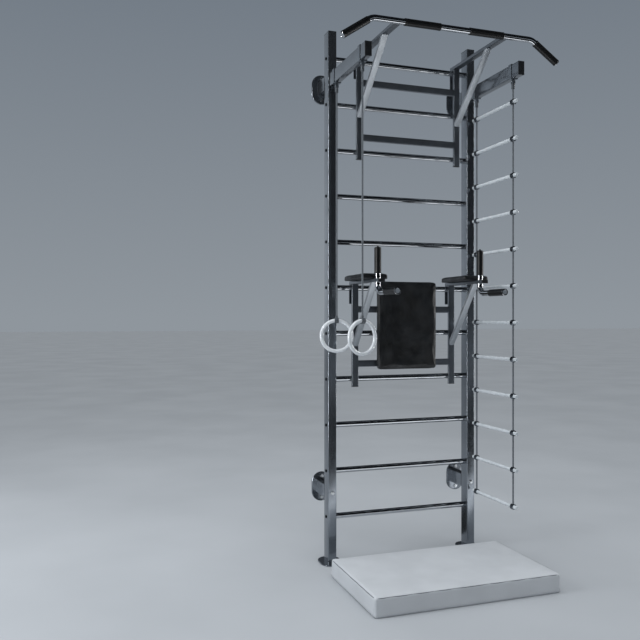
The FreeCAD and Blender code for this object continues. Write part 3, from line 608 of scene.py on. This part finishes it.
# %% Straight rungs
def rod_profile(length, radius, edge):
    """Straight side with a quarter-round roll-over at each end."""
    t = np.linspace(0, np.pi / 2, 5)
    near = np.column_stack([edge * (1 - np.cos(t)), radius - edge * (1 - np.sin(t))])
    body = np.column_stack([np.linspace(edge, length - edge, 12)[1:-1], np.full(10, radius)])
    far = np.column_stack([length - edge + edge * np.sin(t), radius - edge * (1 - np.cos(t))])
    return np.concatenate([near, body, far])


TUBE = 12.5 * MM              # radius of every round tube
RUNG_EDGE = 0.6 * MM

for number in RUNG_NUMBERS:
    node = "rung_%02d" % number
    low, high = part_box(node)
    profile = rod_profile(high[0] - low[0], TUBE, RUNG_EDGE)
    start = (low[0], *middle(node)[1:])
    shell_piece(node + "_chrome", [turned(profile, start, (1, 0, 0), 64)], chrome,
                "wall_bars", [node])

# %% Bent tubes
def bent_line(corners, radius, step=4.0 * MM):
    """Straight runs whose corners are replaced by arcs: centre + r * (cos a * -inward + sin a * heading)."""
    corners = [np.asarray(c, float) for c in corners]
    line = [corners[0]]
    for before, corner, after in zip(corners, corners[1:], corners[2:]):
        into = (corner - before) / np.linalg.norm(corner - before)
        out = (after - corner) / np.linalg.norm(after - corner)
        turn = math.acos(float(into @ out))
        start = corner - into * radius * math.tan(turn / 2)
        inward = out - into * (out @ into)
        inward /= np.linalg.norm(inward)
        a = np.linspace(0, turn, 14)[:, None]
        line += list(start + inward * radius * (1 - np.cos(a)) + into * radius * np.sin(a))
    line.append(corners[-1])
    return np.array(line)


def carried_circle(line, radius, flat, sides=48):
    """Circle of a radius at each point, square to the line; flat is the normal of the line's plane."""
    heading = np.gradient(line, axis=0)
    heading /= np.linalg.norm(heading, axis=1, keepdims=True)
    u = np.broadcast_to(np.asarray(flat, float), line.shape)
    v = np.cross(heading, u)
    t = np.linspace(0, 2 * np.pi, sides, endpoint=False)[None, :, None]
    return grid_shell(line[:, None, :] + radius * (np.cos(t) * u[:, None, :] + np.sin(t) * v[:, None, :]))


BAR_OFFSET = 30.0 * MM
BAR_BEND, HANDLE_BEND = 60.0 * MM, 35.0 * MM
BAR_HALF, BAR_DROP, BAR_ANGLE = 501.8 * MM, 85.3 * MM, math.radians(34.0)
bar_low, bar_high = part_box("pullup_bar")
bar_y = (bar_low[1] + bar_high[1]) / 2
bar_z = bar_high[2] - TUBE
bar_corner = BAR_HALF - BAR_DROP / math.tan(BAR_ANGLE)


def bar_point(sign, x, drop=0.0):
    return np.array((BAR_OFFSET + sign * x, bar_y, bar_z - drop))


bar_ends = [bar_point(-1, BAR_HALF, BAR_DROP), bar_point(-1, bar_corner), bar_point(1, bar_corner),
            bar_point(1, BAR_HALF, BAR_DROP)]
shell_piece("pullup_bar_chrome", [carried_circle(bent_line(bar_ends, BAR_BEND), TUBE, (0, 1, 0), 64)],
            chrome, "pullup_unit", ["pullup_bar"])

handle_ends = {}
for side in ("left", "right"):
    low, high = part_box(side + "_handle")
    x = (low[0] + high[0]) / 2
    top = np.array((x, high[1] - TUBE, high[2]))
    front = np.array((x, low[1], low[2] + TUBE))
    corner = np.array((x, high[1] - TUBE, low[2] + TUBE))
    handle_ends[side] = (top, front)
    line = bent_line([top, corner, front], HANDLE_BEND)
    shell_piece(side + "_handle_chrome", [carried_circle(line, TUBE, (1, 0, 0), 64)], chrome,
                "dip_unit", [side + "_handle"])

# %% [markdown]
# ## Rubber grips
# A grip is a slid-on sleeve with a bead at each end and shallow ribs between. The ribs are 4 mm apart
# and a fifth of a millimetre deep: a row of arches along the profile.
# The profile runs round the wall and back through the bore, so the sleeve is a closed ring.

# %% Grips
def grip_profile(length, bore, outer, bead=0.9 * MM, rib=4.0 * MM):
    """Radius outer - 0.2 mm * (1 - |sin(pi s / rib)|) along s, a bead at each end, closed by the bore."""
    s = np.linspace(5 * MM, length - 5 * MM, int(length / (rib / 8)))
    ribs = np.column_stack([s, outer - 0.2 * MM * (1 - np.abs(np.sin(np.pi * s / rib)))])
    t = np.linspace(0, np.pi, 9)
    near = np.column_stack([2.5 * MM - 2.5 * MM * np.cos(t), outer - 0.6 * MM + bead * np.sin(t)])
    far = near[::-1] * (-1, 1) + (length, 0)
    return np.concatenate([[(0, bore)], near, ribs, far, [(length, bore)]])


GRIP_BORE = TUBE + 0.02 * MM
GRIP_OUTER = 14.9 * MM
MIDDLE_GRIP = (68 * MM, 232 * MM)            # from the bar's middle
END_GRIP, TOP_GRIP, FRONT_GRIP = 132 * MM, 110 * MM, 113 * MM


def grip(start, end):
    start, end = np.asarray(start, float), np.asarray(end, float)
    length = float(np.linalg.norm(end - start))
    return turned(grip_profile(length, GRIP_BORE, GRIP_OUTER), start, end - start, 48, loop=True)


pullup_grips = []
for sign in (-1, 1):
    pullup_grips.append(grip(*[bar_point(sign, x) for x in MIDDLE_GRIP]))
    tip = bar_point(sign, BAR_HALF, BAR_DROP)
    inward = bar_point(sign, bar_corner) - tip
    pullup_grips.append(grip(tip, tip + inward / np.linalg.norm(inward) * END_GRIP))
shell_piece("pullup_rubber_grips", pullup_grips, foam_rubber, "pullup_unit", ["pullup_grips"], 50.0)

dip_grips = []
for top, front in handle_ends.values():
    dip_grips.append(grip(top - (0, 0, TOP_GRIP), top))
    dip_grips.append(grip(front, front + (0, FRONT_GRIP, 0)))
shell_piece("dip_rubber_grips", dip_grips, foam_rubber, "dip_unit", ["dip_grips"], 50.0)

# %% [markdown]
# ## Trims of the tube ends
# The forward ends of the handles and both ends of the bar are closed by a grey plug inside a thin
# chromed ring, which hides the end of the rubber sleeve. The ring is a lathe shape closed on itself,
# a shallow cup over the plug's rim, and the grey face is a low disc with a rounded border.

# %% End trims
ring_rows = np.array([(0.2, 12.55), (0.2, 14.6), (2.4, 14.6), (3.0, 14.0), (3.0, 10.6), (2.6, 10.1),
                      (2.6, 12.55)]) * MM
disc_rows = np.array([(2.45, 10.4), (2.8, 10.2), (2.95, 9.4)]) * MM
bar_tips = [(tip, tip - corner) for tip, corner in ((bar_ends[0], bar_ends[1]), (bar_ends[3], bar_ends[2]))]
handle_tips = [(front, (0, -1, 0)) for _, front in handle_ends.values()]
for unit, tips in (("pullup", bar_tips), ("dip", handle_tips)):
    body = unit + "_unit"
    shell_piece(unit + "_end_trim_rings", [turned(ring_rows, tip, out, 48, loop=True) for tip, out in tips],
                chrome, body, smooth_below=25.0)
    shell_piece(unit + "_end_trim_discs", [turned(disc_rows, tip, out, 40) for tip, out in tips],
                trim_nylon, body, smooth_below=25.0)

# %% [markdown]
# ## Gymnastic rings
# A ring is a torus: a circle of 8.5 mm carried round a circle of 68.5 mm. Each one hangs turned a
# little about its rope. A faint moulding line runs round the outside where the two halves of the
# mould met, a ridge of 0.25 mm.

# %% Rings
RING_RADIUS, RING_TUBE = 68.5 * MM, 8.5 * MM
SEAM_HEIGHT, SEAM_SPREAD = 0.25 * MM, 0.09

for end, degrees in (("front", -18.0), ("rear", 18.0)):
    node = end + "_ring"
    centre = middle(node)
    a = math.radians(degrees)
    flat, up = np.array((math.cos(a), -math.sin(a), 0)), np.array((0, 0, 1.0))
    facing = np.array((math.sin(a), math.cos(a), 0))
    u = np.linspace(0, 2 * np.pi, 144, endpoint=False)[:, None, None]
    v = np.linspace(0, 2 * np.pi, 48, endpoint=False)[None, :, None]
    tube = RING_TUBE + SEAM_HEIGHT * np.exp(-(np.minimum(v, 2 * np.pi - v) / SEAM_SPREAD) ** 2)
    outward = np.cos(u) * flat + np.sin(u) * up
    points = centre + (RING_RADIUS + tube * np.cos(v)) * outward + tube * np.sin(v) * facing
    shell_piece(node + "_moulding", [grid_shell(points, closed_rows=True)], ring_plastic,
                node, [node])

# %% [markdown]
# ## Ladder rungs and collars
# Twelve pale rods with rounded tips are clamped to the two ropes by dark collars. Both are lathe
# work. A collar is a short ring with chamfered rims and a shallow groove round its middle.

# %% Ladder
RUNGS = 12
ROD_RADIUS, ROD_EDGE = 8 * MM, 2.5 * MM
low, high = (np.array(c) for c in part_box("ladder_rungs"))
rung_z = np.linspace(high[2] - ROD_RADIUS, low[2] + ROD_RADIUS, RUNGS)
ladder_x = (low[0] + high[0]) / 2
rod = rod_profile(high[1] - low[1], ROD_RADIUS, ROD_EDGE)
rods = [turned(rod, (ladder_x, low[1], z), (0, 1, 0), 32) for z in rung_z]
shell_piece("ladder_rung_rods", rods, rung_plastic, "rope_ladder", ["ladder_rungs"])

COLLAR = 18.0 * MM
collar_profile = np.array([(0, 8.05), (0, 11.0), (1.5, 12.5), (7.2, 12.5), (7.8, 11.7), (10.2, 11.7),
                           (10.8, 12.5), (16.5, 12.5), (18, 11.0), (18, 8.05)]) * MM
low, high = (np.array(c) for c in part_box("ladder_collars"))
collars = [turned(collar_profile, (ladder_x, y, z), (0, 1, 0), 36, loop=True)
           for z in rung_z for y in (low[1], high[1] - COLLAR)]
shell_piece("ladder_clamp_collars", collars, nickel, "rope_ladder", ["ladder_collars"], 25.0)

# %% [markdown]
# ## Padded pieces
# A pad is foam wrapped in a tight cover and pulled over a board: flat where it rests, crowned where
# it is free, and drawn in at its corners. Cloth simulation gives that shape. The CAD slab is
# shrunk a little, remeshed to even squares and blown up by a light pressure, with the face that
# rests on something held. How far a point may travel is capped, for the foam is firm.

# %% Blow up a pad
def even_copy(node, name, voxel, shrink):
    """CAD node's skin, pulled in by shrink on every side and remeshed to squares of the voxel size."""
    mesh = merged_copy(node)
    points = mesh_points(mesh)
    centre = (points.min(0) + points.max(0)) / 2
    half = (points.max(0) - points.min(0)) / 2
    points = centre + (points - centre) * (1 - np.asarray(shrink) / half)
    mesh.vertices.foreach_set("co", points.ravel())
    carrier = bpy.data.objects.new(name + "_work", mesh)
    bpy.context.scene.collection.objects.link(carrier)
    remesh = carrier.modifiers.new("even", "REMESH")
    remesh.mode = "VOXEL"
    remesh.voxel_size = voxel
    return carrier


def applied(carrier):
    """Replaces an object's mesh by its evaluated one and clears its modifiers."""
    graph = bpy.context.evaluated_depsgraph_get()
    mesh = bpy.data.meshes.new_from_object(carrier.evaluated_get(graph))
    carrier.modifiers.clear()
    carrier.data = mesh
    bpy.context.view_layer.update()
    return carrier


PROUD = 1.0 * MM              # how far a cover may stand out of its CAD box
SIDEWAYS = 1.0 * MM           # how far a point may move along the face that is rested on


def inflated(carrier, held, cap, rest_axis, pressure=4.0, frames=20):
    """Cloth pressure on all but the held points; each moves by at most the cap, and less sideways."""
    before = mesh_points(carrier.data)
    group = carrier.vertex_groups.new(name="held")
    group.add(np.flatnonzero(held).tolist(), 1.0, "REPLACE")
    cloth = carrier.modifiers.new("cover", "CLOTH")
    cloth.settings.vertex_group_mass = "held"
    cloth.settings.use_pressure = True
    cloth.settings.uniform_pressure_force = pressure
    cloth.settings.effector_weights.gravity = 0.0
    cloth.settings.tension_stiffness = 20.0
    cloth.settings.compression_stiffness = 20.0
    cloth.point_cache.frame_start = 1
    cloth.point_cache.frame_end = frames
    scene = bpy.context.scene
    for number in range(1, frames + 1):
        scene.frame_set(number)
    graph = bpy.context.evaluated_depsgraph_get()
    after = mesh_points(carrier.evaluated_get(graph).to_mesh())
    carrier.evaluated_get(graph).to_mesh_clear()
    carrier.modifiers.clear()
    scene.frame_set(1)
    move = after - before
    length = np.linalg.norm(move, axis=1, keepdims=True)
    move *= np.minimum(1.0, cap / np.maximum(length, 1e-9))
    for axis in {0, 1, 2} - {rest_axis}:
        move[:, axis] = np.clip(move[:, axis], -SIDEWAYS, SIDEWAYS)
    carrier.data.vertices.foreach_set("co", (before + move).ravel())
    print(carrier.name, "moved", round(float(length.max()) / MM, 1), "mm, capped at", round(cap / MM, 1))


def pad_piece(node, name, body, slot, material, voxel, shrink, cap, rest_axis, rest_side, fill):
    """A padded piece: even copy, simulation, clamp to the CAD box, one subdivision."""
    carrier = applied(even_copy(node, name, voxel, shrink))
    points = mesh_points(carrier.data)
    low, high = (np.array(c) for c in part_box(node))
    edge = points[:, rest_axis].max() if rest_side > 0 else points[:, rest_axis].min()
    held = np.abs(points[:, rest_axis] - edge) < 0.6 * voxel
    inflated(carrier, held, cap, rest_axis)
    points = np.clip(mesh_points(carrier.data), low - PROUD, high + PROUD)
    points[held, rest_axis] = (high if rest_side > 0 else low)[rest_axis]
    carrier.data.vertices.foreach_set("co", points.ravel())
    level = carrier.modifiers.new("finer", "SUBSURF")
    level.levels = level.render_levels = 1
    mesh = applied(carrier).data.copy()
    bpy.data.objects.remove(carrier)
    mesh.name = name
    piece = finish_piece(name, mesh, material, body, [node], 60.0)
    return piece


# %% [markdown]
# The backrest and the elbow pads are 4 to 5 mm squares before the simulation, and the mat, which is
# far larger and firmer, 8 mm ones. The backrest rests on its board behind (+Y), the others on what
# lies below them (-Z).

# %% Simulate the pads
BACK, DOWN = (1, 1), (2, -1)  # the axis and side of the face that a pad rests on
ELBOW_SHRINK = (0.5 * MM, 0.5 * MM, 2 * MM)
pads = {}
for node, name, body, slot, material, voxel, shrink, cap, rest, fill in (
        ("backrest_pad", "backrest_cushion", "dip_unit", "leather", leatherette,
         5 * MM, (0.5 * MM, 2 * MM, 0.5 * MM), 7 * MM, BACK, 0.85),
        ("left_elbow_pad", "left_elbow_cushion", "dip_unit", "leather", leatherette,
         4 * MM, ELBOW_SHRINK, 6 * MM, DOWN, 0.85),
        ("right_elbow_pad", "right_elbow_cushion", "dip_unit", "leather", leatherette,
         4 * MM, ELBOW_SHRINK, 6 * MM, DOWN, 0.85),
        ("mat", "floor_mat", "mat", "vinyl", vinyl,
         8 * MM, (0.5 * MM, 0.5 * MM, 1 * MM), 2 * MM, DOWN, 1.0)):
    pads[node] = pad_piece(node, name, body, slot, material, voxel, shrink, cap, *rest, fill)

# %% [markdown]
# ## Piping
# The covers are closed by a seam with a thin piping cord, which runs round each pad near the face
# that it rests on. Its line is the pad's own outline at that height, found from the pad's points:
# for each direction from the centre, the farthest point in a thin slice.

# %% Piping round the pads
def outline_of(piece, axis, height, slice_half, count=220):
    """Farthest point of a thin slice in each of count directions from the slice's centre."""
    points = mesh_points(piece.data)
    ring = points[np.abs(points[:, axis] - height) < slice_half]
    i, j = [n for n in range(3) if n != axis]
    centre = (ring.min(0) + ring.max(0)) / 2
    half = (ring.max(0) - ring.min(0)) / 2
    flat = (ring - centre)[:, (i, j)] / half[[i, j]]
    angle = np.arctan2(flat[:, 1], flat[:, 0])
    reach = np.abs(flat).max(1)
    outer = reach > 0.9 * reach.max()
    order = np.argsort(angle[outer])
    line = ring[outer][order]
    line[:, axis] = height
    keep = np.concatenate([[True], np.linalg.norm(np.diff(line, axis=0), axis=1) > 0.2 * MM])
    line = line[keep]
    lengths = np.concatenate([[0.0], np.cumsum(np.linalg.norm(np.diff(line, axis=0), axis=1))])
    at = np.linspace(0, lengths[-1], count, endpoint=False)
    even = np.column_stack([np.interp(at, lengths, line[:, k]) for k in range(3)])
    for _ in range(3):
        even = (np.roll(even, 1, 0) + 2 * even + np.roll(even, -1, 0)) / 4
    return even


def piping(line, radius, axis):
    """Circle carried round a closed flat line."""
    heading = np.roll(line, -1, 0) - np.roll(line, 1, 0)
    heading /= np.linalg.norm(heading, axis=1, keepdims=True)
    u = np.broadcast_to(np.eye(3)[axis], line.shape)
    v = np.cross(heading, u)
    t = np.linspace(0, 2 * np.pi, 12, endpoint=False)[None, :, None]
    points = line[:, None, :] + radius * (np.cos(t) * u[:, None, :] + np.sin(t) * v[:, None, :])
    return grid_shell(points, closed_rows=True)


for node, axis, inset, radius, material, body, slot in (
        ("backrest_pad", 1, -6 * MM, 1.5 * MM, leatherette_cord, "dip_unit", "leather"),
        ("left_elbow_pad", 2, 4 * MM, 1.3 * MM, leatherette_cord, "dip_unit", "leather"),
        ("right_elbow_pad", 2, 4 * MM, 1.3 * MM, leatherette_cord, "dip_unit", "leather"),
        ("mat", 2, -7 * MM, 1.6 * MM, mat_piping_painted_shade, "mat", "vinyl")):
    low, high = (np.array(c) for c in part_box(node))
    height = (high if inset < 0 else low)[axis] + inset
    line = outline_of(pads[node], axis, height, 2.5 * MM)
    shell_piece(pads[node].name + "_piping", [piping(line, radius, axis)], material, body)

# %% [markdown]
# ## Floor and light
# A pale floor carries the object, so wide that it melts into the backdrop. A soft box on the left and
# a large one above light the mat, the pads and the floor, and show in no reflection. A tall strip on
# each side does the opposite: it shows in reflections alone, as the bright line on each post's corner.
# Flat cards on the floor, also seen in reflections alone, are painted reflection and painted shade: a
# glowing white card stands in for a brightly lit floor near the mat, and black cards for dark ground
# beyond and for shaded ground behind. The room that chrome and flake coats mirror is dark in front and
# bright behind on the left. Fabric and floor get an even pale light, and the camera itself sees a
# plain backdrop, a little darker towards the top.

# %% Stage
FLOOR_HALF = 60.0
FLOOR_GAP = 0.5 * MM          # the floor lies this far below the feet
CARD_HEIGHT = 3.0 * MM


def flat_stage(name, low, high, z, material):
    """Flat rectangle between two corners (x, y) at a height, as a piece of the stage."""
    data = bpy.data.meshes.new(name)
    corners = [(low[0], low[1], 0), (high[0], low[1], 0), (high[0], high[1], 0), (low[0], high[1], 0)]
    data.from_pydata(corners, [], [(0, 1, 2, 3)])
    data.materials.append(material)
    piece = bpy.data.objects.new(name, data)
    piece.location.z = z
    bpy.context.scene.collection.objects.link(piece)
    return piece


flat_stage("floor", (-FLOOR_HALF, -FLOOR_HALF), (FLOOR_HALF, FLOOR_HALF), -FLOOR_GAP, floor_paint)


def soft_box(name, place, aim, size, power, tint, mirrored=True):
    """Rectangular area light turned to a point; unmirrored, it lights but shows in no reflection."""
    data = bpy.data.lights.new(name, "AREA")
    data.shape = "RECTANGLE"
    data.size, data.size_y = size
    data.energy = power
    data.color = linear(tint)[:3]
    lamp = bpy.data.objects.new(name, data)
    lamp.location = place
    lamp.rotation_euler = (Vector(aim) - Vector(place)).to_track_quat("-Z", "Y").to_euler()
    lamp.visible_glossy = mirrored
    bpy.context.scene.collection.objects.link(lamp)
    return lamp


def mirrored_only(piece):
    """Shows a card or a lamp in reflections alone: it gives no light to fabric or floor and isn't in view."""
    piece.visible_camera = piece.visible_diffuse = piece.visible_transmission = piece.visible_shadow = False


# Cards seen in reflections alone. The white one glows and is a painted reflection of a brightly lit floor in
# front of the mat. The black ones are painted shade: dark ground beyond it, and shaded ground behind the
# bars.
painted_reflection_material = start_material("painted_reflection_card_white", Roughness=1.0, Emission_Strength=1.3,
                            Emission_Color=linear("#f4f6f8"))[0]
painted_shade_material = start_material("painted_shade_card_black", Base_Color=linear("#050506"), Roughness=1.0)[0]
for name, low, high, material in (("front_painted_reflection_card", (-1.3, -1.5), (1.8, -0.80), painted_reflection_material),
                                  ("front_painted_shade_card", (-4.0, -7.0), (6.0, -1.55), painted_shade_material),
                                  ("rear_painted_shade_card", (-0.36, 0.06), (0.75, 0.6), painted_shade_material)):
    mirrored_only(flat_stage(name, low, high, CARD_HEIGHT, material))

soft_box("left_box", (-4.2, -0.3, 1.9), (0, -0.3, 1.0), (0.9, 3.0), 90, "#f7f9fc", mirrored=False)
mirrored_only(soft_box("left_strip", (-4.0, -1.2, 1.5), (0, -0.2, 1.1), (0.35, 3.4), 110, "#ffffff"))
mirrored_only(soft_box("right_strip", (4.0, -0.9, 1.5), (0, -0.2, 1.1), (0.30, 3.4), 80, "#ffffff"))
soft_box("top_box", (-0.3, -0.9, 4.6), (0, -0.7, 0.0), (3.4, 2.6), 70, "#f7f9fc", mirrored=False)

bpy.context.scene.view_settings.view_transform = "Standard"
world = bpy.data.worlds.new("studio")
bpy.context.scene.world = world
world.use_nodes = True
tree = world.node_tree
shade = tree.nodes["Background"]
direction = add(tree, "ShaderNodeTexCoord").outputs["Generated"]


def lit_along(direction, axis, stops):
    """Colour ramp on the dot product with an axis, its stops given as (dot product, colour)."""
    dot = add(tree, "ShaderNodeVectorMath", {"operation": "DOT_PRODUCT"},
              {0: direction, 1: Vector(axis).normalized()})
    spread = add(tree, "ShaderNodeMapRange", None,
                 {"Value": dot.outputs["Value"], "From Min": -1.0, "From Max": 1.0})
    ramp = add(tree, "ShaderNodeValToRGB", None, {"Fac": spread.outputs["Result"]})
    elements = ramp.color_ramp.elements
    while len(elements) < len(stops):
        elements.new(0.5)
    for element, (at, colour) in zip(elements, stops):
        element.position = (at + 1) / 2
        element.color = linear(colour)
    return ramp.outputs["Color"]


mirrored_room = lit_along(direction, (-0.42, 0.9, -0.25),
                          ((-1.0, "#101316"), (0.3, "#1b1f23"), (0.6, "#3a3f45"), (0.84, "#a0a8b0"),
                           (0.96, "#cdd4db")))
backdrop = lit_along(direction, (0.0, 0.0, 1.0), ((-0.05, "#8f969d"), (0.0, "#8f969d"), (0.4, "#737c86")))
even_light = lit_along(direction, (0.0, 0.0, 1.0), ((-1.0, "#6b7076"), (0.0, "#6b7076"), (1.0, "#f2f5f8")))
path = add(tree, "ShaderNodeLightPath")
room = even_light
for ray, seen in (("Is Glossy Ray", mirrored_room), ("Is Camera Ray", backdrop)):
    room = add(tree, "ShaderNodeMix", {"data_type": "RGBA"},
               {"Factor": path.outputs[ray], 6: room, 7: seen}).outputs[2]
tree.links.new(room, shade.inputs["Color"])
shade.inputs["Strength"].default_value = 1.0
print("stage ready")
